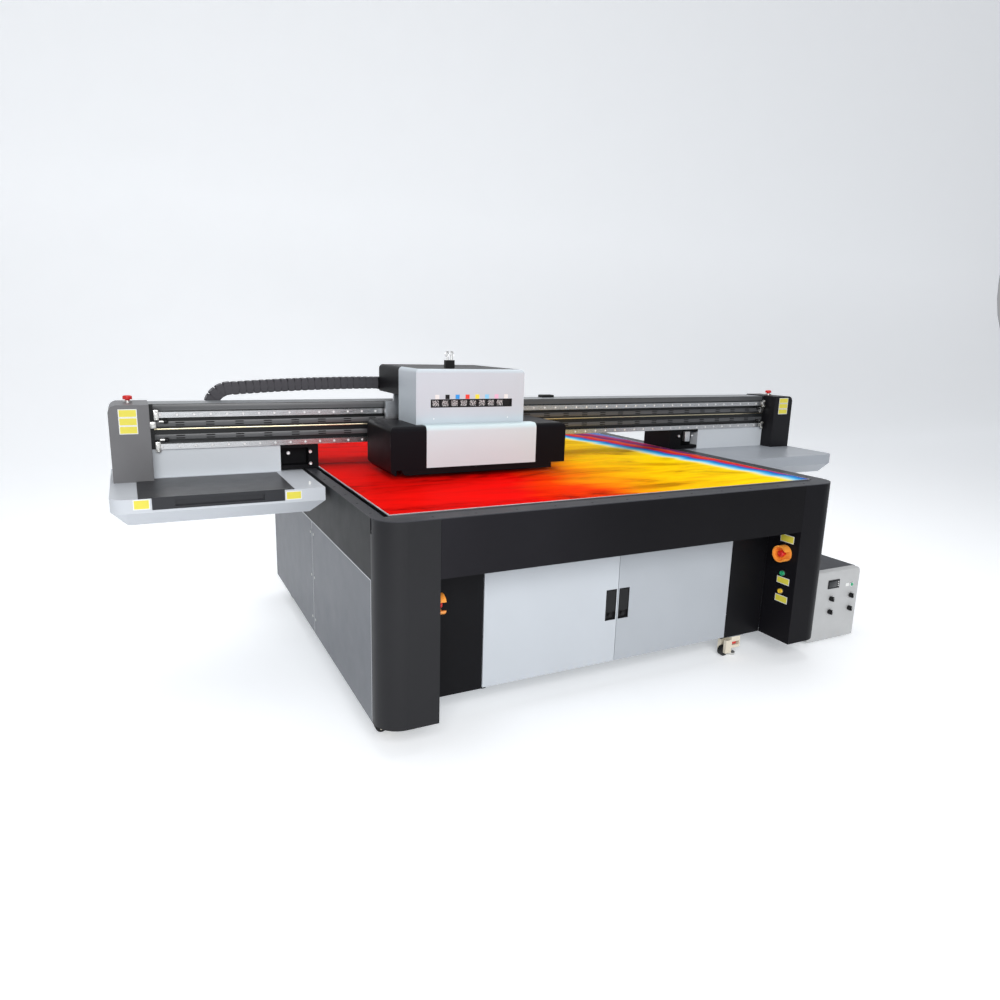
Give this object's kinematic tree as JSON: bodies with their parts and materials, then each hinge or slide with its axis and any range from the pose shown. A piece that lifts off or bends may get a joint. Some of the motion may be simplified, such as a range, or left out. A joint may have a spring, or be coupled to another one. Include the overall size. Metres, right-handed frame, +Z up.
{
  "type": "flatbed UV printer",
  "caption": "Flatbed UV printer: closed base with a vacuum table, a gantry carrying a print carriage across it, side trays, drag chain, doors, casters and a control unit.",
  "frame": {"origin": "on the floor, at the middle of the whole model's footprint", "axes": "+X along the front from left to right, +Y from the front to the rear, +Z up"},
  "size_m": [4.624, 2.38, 1.727],
  "materials": {
    "dark_paint": "satin charcoal powder coat",
    "black_paint": "satin black powder coat",
    "grey_paint": "smooth light grey powder coat",
    "silver_paint": "fine silver grey metallic coat",
    "frame_paint": "grey enamel",
    "rim_paint": "satin dark grey coat",
    "bare_aluminium": "machined",
    "rail_steel": "ground",
    "printed_film": "printed film, satin",
    "black_plastic": "moulded",
    "red_plastic": "moulded",
    "yellow_plastic": "moulded",
    "green_plastic": "moulded",
    "ivory_paint": "enamel",
    "wheel_nylon": "moulded",
    "zinc_steel": "zinc plated",
    "bezel_plastic": "moulded off white",
    "ink_plastic": "translucent",
    "module_metal": "sheet",
    "blower_paint": "enamel"
  },
  "bodies": {
    "base": {"base_frame": "frame_paint", "corner_columns": "dark_paint", "front_fascia": "dark_paint", "recess_panels": "black_paint", "side_bands": "black_paint", "side_panels": "silver_paint", "rear_cover": "dark_paint", "bed_rim": "rim_paint", "vacuum_bed": "bare_aluminium", "media_sheet": "printed_film", "y_rails": "rail_steel", "vacuum_blower": "blower_paint", "electronics_panel": "module_metal", "ink_tanks": "ink_plastic", "estop_guards": "yellow_plastic", "levelling_pads": "zinc_steel", "control_unit_case": "dark_paint", "control_unit_bezel": "bezel_plastic"},
    "door_left": {"door_left": "silver_paint"},
    "door_right": {"door_right": "silver_paint"},
    "lever_left": {"door_lever_left": "black_plastic"},
    "lever_right": {"door_lever_right": "black_plastic"},
    "leg_estop_left": {"leg_estop_left": "red_plastic"},
    "leg_estop_right": {"leg_estop_right": "red_plastic"},
    "start_button": {"start_button": "green_plastic"},
    "reset_button": {"reset_button": "yellow_plastic"},
    "unit_switch": {"unit_switch": "green_plastic"},
    "unit_knob_1": {"unit_knob_1": "black_plastic"},
    "caster_fork_1": {"caster_fork_1": "ivory_paint"},
    "caster_wheel_1": {"caster_wheel_1": "wheel_nylon"},
    "unit_knob_2": {"unit_knob_2": "black_plastic"},
    "caster_fork_2": {"caster_fork_2": "ivory_paint"},
    "caster_wheel_2": {"caster_wheel_2": "wheel_nylon"},
    "unit_knob_3": {"unit_knob_3": "black_plastic"},
    "caster_fork_3": {"caster_fork_3": "ivory_paint"},
    "caster_wheel_3": {"caster_wheel_3": "wheel_nylon"},
    "unit_knob_4": {"unit_knob_4": "black_plastic"},
    "caster_fork_4": {"caster_fork_4": "ivory_paint"},
    "caster_wheel_4": {"caster_wheel_4": "wheel_nylon"},
    "gantry": {"beam": "dark_paint", "x_rails": "rail_steel", "end_cap_left": "dark_paint", "end_cap_right": "dark_paint", "station_tray": "grey_paint", "right_shelf": "grey_paint", "wing_boxes": "grey_paint", "gantry_feet": "black_paint", "chain_tray": "black_paint"},
    "cap_estop_left": {"cap_estop_left": "red_plastic"},
    "cap_estop_right": {"cap_estop_right": "red_plastic"},
    "station_cover": {"station_cover": "black_paint"},
    "x_slider": {"slider_plate": "bare_aluminium", "rear_box": "dark_paint", "chain_upper_run": "black_plastic"},
    "chain_bend": {"chain_bend": "black_plastic"},
    "print_head": {"upper_cover": "grey_paint", "ink_bottles": "ink_plastic", "lower_shell": "dark_paint", "front_panel": "grey_paint", "head_plate": "bare_aluminium"}
  },
  "joints": [
    {"name": "gantry_y", "type": "slide", "parent": "base", "child": "gantry", "axis": [0, 1, 0], "range_m": [-0.68, 0.54]},
    {"name": "carriage_x", "type": "slide", "parent": "gantry", "child": "x_slider", "axis": [1, 0, 0], "range_m": [-1, 2]},
    {"name": "head_lift", "type": "slide", "parent": "x_slider", "child": "print_head", "axis": [0, 0, 1], "range_m": [0, 0.1]},
    {"name": "chain_roll", "type": "slide", "parent": "x_slider", "child": "chain_bend", "axis": [1, 0, 0], "range_m": [-1, 0.5], "deforming": ["chain_upper_run"]},
    {"name": "cover_slide", "type": "slide", "parent": "gantry", "child": "station_cover", "axis": [0, -1, 0], "range_m": [0, 0.25]},
    {"name": "door_left_hinge", "type": "hinge", "parent": "base", "child": "door_left", "pos_m": [-0.753, -0.958, 0], "axis": [0, 0, -1], "range_deg": [0, 100]},
    {"name": "door_right_hinge", "type": "hinge", "parent": "base", "child": "door_right", "pos_m": [0.793, -0.958, 0], "axis": [0, 0, 1], "range_deg": [0, 100]},
    {"name": "lever_left_hinge", "type": "hinge", "parent": "door_left", "child": "lever_left", "pos_m": [-0.021, -0.963, 0.53], "axis": [-1, 0, 0], "range_deg": [0, 35], "stiffness_Nm_per_rad": 2},
    {"name": "lever_right_hinge", "type": "hinge", "parent": "door_right", "child": "lever_right", "pos_m": [0.061, -0.963, 0.53], "axis": [-1, 0, 0], "range_deg": [0, 35], "stiffness_Nm_per_rad": 2},
    {"name": "leg_estop_left_push", "type": "slide", "parent": "base", "child": "leg_estop_left", "axis": [-1, 0, 0], "range_m": [0, 0.004], "stiffness_N_per_m": 2000},
    {"name": "leg_estop_right_push", "type": "slide", "parent": "base", "child": "leg_estop_right", "axis": [1, 0, 0], "range_m": [0, 0.004], "stiffness_N_per_m": 2000},
    {"name": "start_push", "type": "slide", "parent": "base", "child": "start_button", "axis": [1, 0, 0], "range_m": [0, 0.002], "stiffness_N_per_m": 800},
    {"name": "reset_push", "type": "slide", "parent": "base", "child": "reset_button", "axis": [1, 0, 0], "range_m": [0, 0.002], "stiffness_N_per_m": 800},
    {"name": "unit_switch_push", "type": "slide", "parent": "base", "child": "unit_switch", "axis": [0, 1, 0], "range_m": [0, 0.003], "stiffness_N_per_m": 800},
    {"name": "cap_estop_left_push", "type": "slide", "parent": "gantry", "child": "cap_estop_left", "axis": [0, 0, -1], "range_m": [0, 0.004], "stiffness_N_per_m": 2000},
    {"name": "cap_estop_right_push", "type": "slide", "parent": "gantry", "child": "cap_estop_right", "axis": [0, 0, -1], "range_m": [0, 0.004], "stiffness_N_per_m": 2000},
    {"name": "unit_knob_1_turn", "type": "hinge", "parent": "base", "child": "unit_knob_1", "pos_m": [1.59, -1.04, 0.288], "axis": [0, 1, 0], "range_deg": [-135, 135]},
    {"name": "unit_knob_2_turn", "type": "hinge", "parent": "base", "child": "unit_knob_2", "pos_m": [1.59, -1.04, 0.203], "axis": [0, 1, 0], "range_deg": [-135, 135]},
    {"name": "unit_knob_3_turn", "type": "hinge", "parent": "base", "child": "unit_knob_3", "pos_m": [1.768, -1.04, 0.288], "axis": [0, 1, 0], "range_deg": [-135, 135]},
    {"name": "unit_knob_4_turn", "type": "hinge", "parent": "base", "child": "unit_knob_4", "pos_m": [1.768, -1.04, 0.203], "axis": [0, 1, 0], "range_deg": [-135, 135]},
    {"name": "caster_1_swivel", "type": "hinge", "parent": "base", "child": "caster_fork_1", "pos_m": [-1.2, -0.93, 0.06], "axis": [0, 0, 1], "continuous": true},
    {"name": "caster_1_roll", "type": "hinge", "parent": "caster_fork_1", "child": "caster_wheel_1", "pos_m": [-1.262, -0.93, 0.032], "axis": [0, 1, 0], "continuous": true},
    {"name": "caster_2_swivel", "type": "hinge", "parent": "base", "child": "caster_fork_2", "pos_m": [0.905, -0.93, 0.06], "axis": [0, 0, 1], "continuous": true},
    {"name": "caster_2_roll", "type": "hinge", "parent": "caster_fork_2", "child": "caster_wheel_2", "pos_m": [0.843, -0.93, 0.032], "axis": [0, 1, 0], "continuous": true},
    {"name": "caster_3_swivel", "type": "hinge", "parent": "base", "child": "caster_fork_3", "pos_m": [-1.2, 1, 0.06], "axis": [0, 0, 1], "continuous": true},
    {"name": "caster_3_roll", "type": "hinge", "parent": "caster_fork_3", "child": "caster_wheel_3", "pos_m": [-1.262, 1, 0.032], "axis": [0, 1, 0], "continuous": true},
    {"name": "caster_4_swivel", "type": "hinge", "parent": "base", "child": "caster_fork_4", "pos_m": [1.15, 1, 0.06], "axis": [0, 0, 1], "continuous": true},
    {"name": "caster_4_roll", "type": "hinge", "parent": "caster_fork_4", "child": "caster_wheel_4", "pos_m": [1.088, 1, 0.032], "axis": [0, 1, 0], "continuous": true}
  ],
  "couplings": [
    {"joint": "chain_roll", "follows": "carriage_x", "ratio": -0.5}
  ]
}
